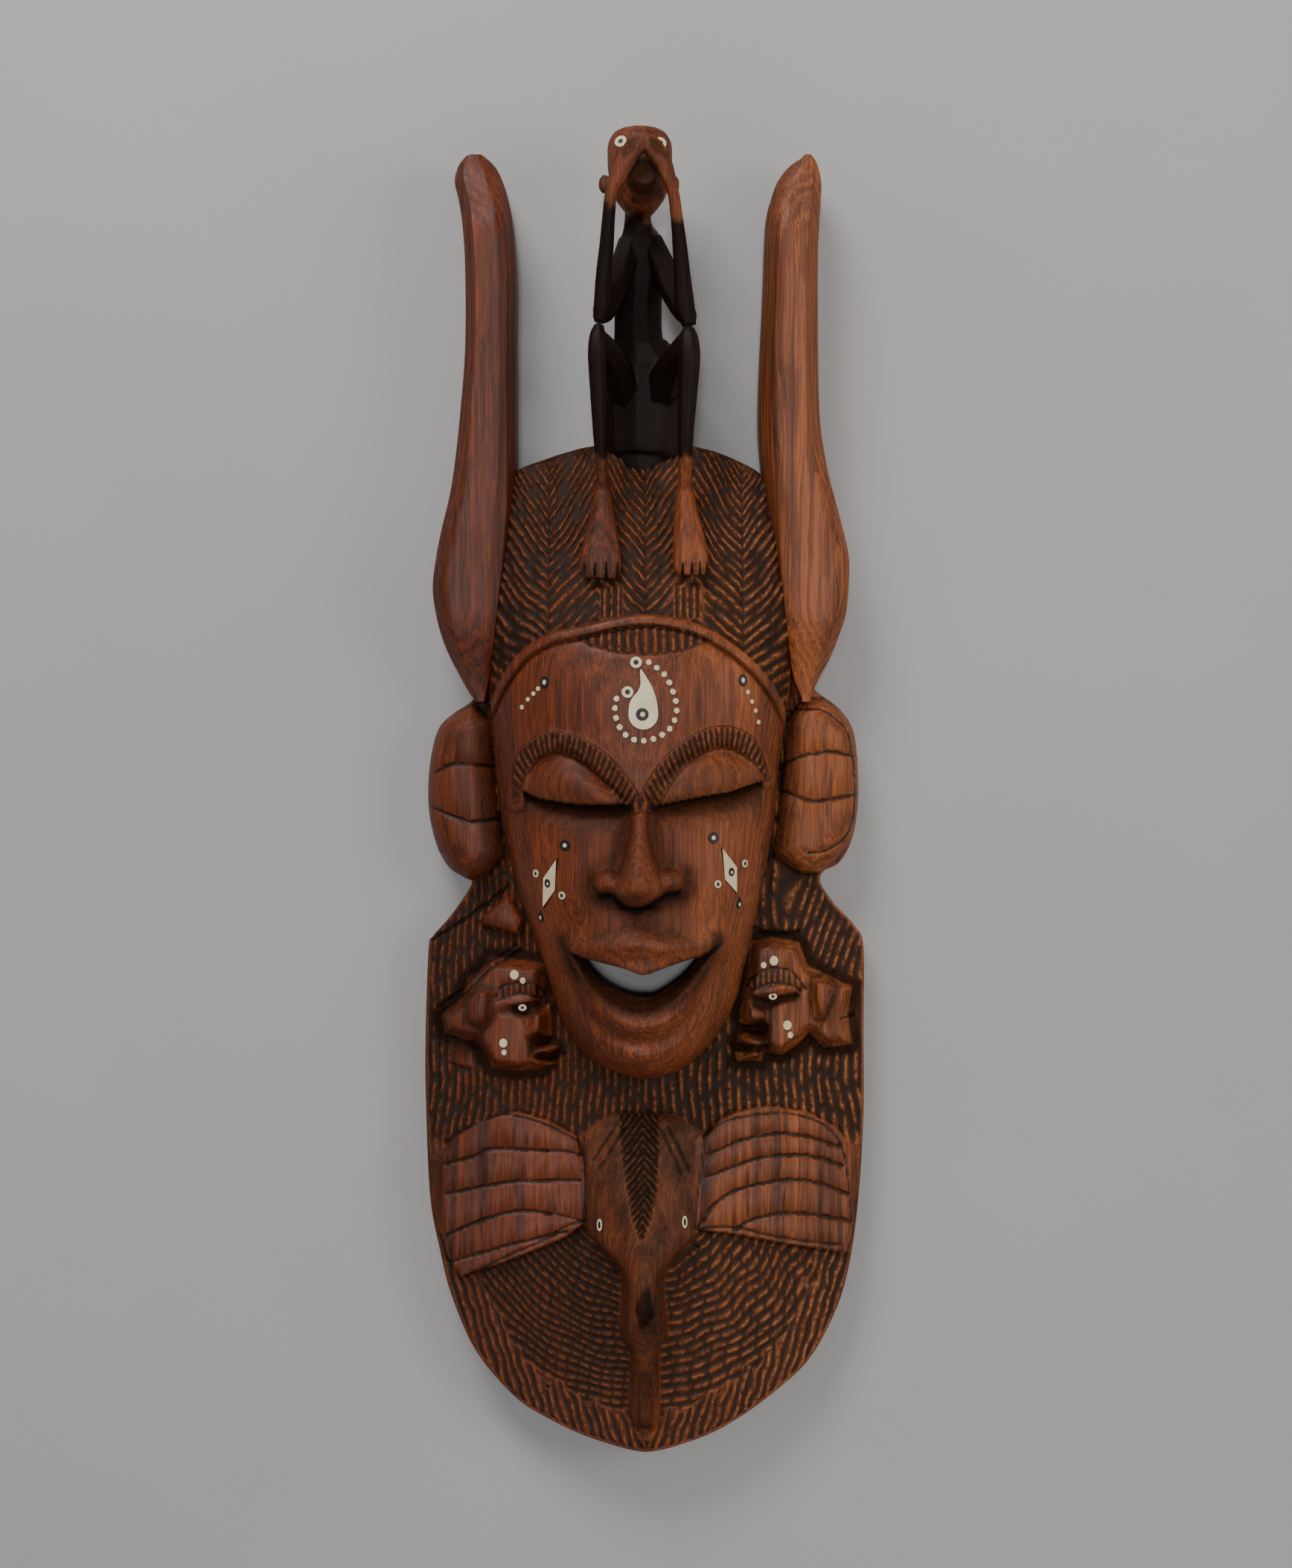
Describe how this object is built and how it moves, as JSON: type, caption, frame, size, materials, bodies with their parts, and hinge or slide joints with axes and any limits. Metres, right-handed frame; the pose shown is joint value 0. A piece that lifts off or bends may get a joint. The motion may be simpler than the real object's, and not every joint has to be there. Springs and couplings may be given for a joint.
{
  "type": "tribal mask",
  "caption": "Carved rosewood wall mask: smiling face, herringbone cap, tall horns, squatting crest figure, side profiles and an elephant head, with bone and black inlays.",
  "frame": {"origin": "centre of the overall length and width, on the flat back that the mask lies on", "axes": "+Y towards the crest figure's head, +Z out of the face, +X to the right as seen from the front"},
  "size_m": [0.3029, 0.9003, 0.1251],
  "materials": {
    "rosewood": "hand carved and waxed to a satin sheen, streaked grain, gouged areas left darker",
    "bone": "cut bone, sanded flush, cream with faint brown flecks",
    "blackened_wood": "dark horn or ebonised wood, polished"
  },
  "bodies": {
    "root": {"cheek_left_diamond": "bone", "cheek_left_disc": "blackened_wood", "cheek_left_drop": "blackened_wood", "cheek_left_ring_1": "bone", "cheek_left_ring_2": "bone", "cheek_right_diamond": "bone", "cheek_right_disc": "blackened_wood", "cheek_right_drop": "blackened_wood", "cheek_right_ring_1": "bone", "cheek_right_ring_2": "bone", "crest_eye_left": "bone", "crest_eye_right": "bone", "elephant_eye_left": "bone", "elephant_eye_right": "bone", "forehead_dot_01": "bone", "forehead_dot_02": "bone", "forehead_dot_03": "bone", "forehead_dot_04": "bone", "forehead_dot_05": "bone", "forehead_dot_06": "bone", "forehead_dot_07": "bone", "forehead_dot_08": "bone", "forehead_dot_09": "bone", "forehead_dot_10": "bone", "forehead_dot_11": "bone", "forehead_dot_12": "bone", "forehead_dot_13": "bone", "forehead_dot_14": "bone", "forehead_dot_15": "bone", "forehead_dot_16": "bone", "forehead_dot_17": "bone", "forehead_dot_18": "bone", "forehead_ring_1": "bone", "forehead_ring_2": "bone", "forehead_tear": "bone", "mask_body": "rosewood", "profile_left_dot_1": "bone", "profile_left_dot_2": "bone", "profile_left_dot_3": "bone", "profile_left_dot_4": "bone", "profile_left_eye": "bone", "profile_right_dot_1": "bone", "profile_right_dot_2": "bone", "profile_right_dot_3": "bone", "profile_right_dot_4": "bone", "profile_right_eye": "bone", "temple_left_disc": "blackened_wood", "temple_left_dot_1": "bone", "temple_left_dot_2": "bone", "temple_left_dot_3": "bone", "temple_left_dot_4": "bone", "temple_right_disc": "blackened_wood", "temple_right_dot_1": "bone", "temple_right_dot_2": "bone", "temple_right_dot_3": "bone", "temple_right_dot_4": "bone"}
  },
  "joints": []
}
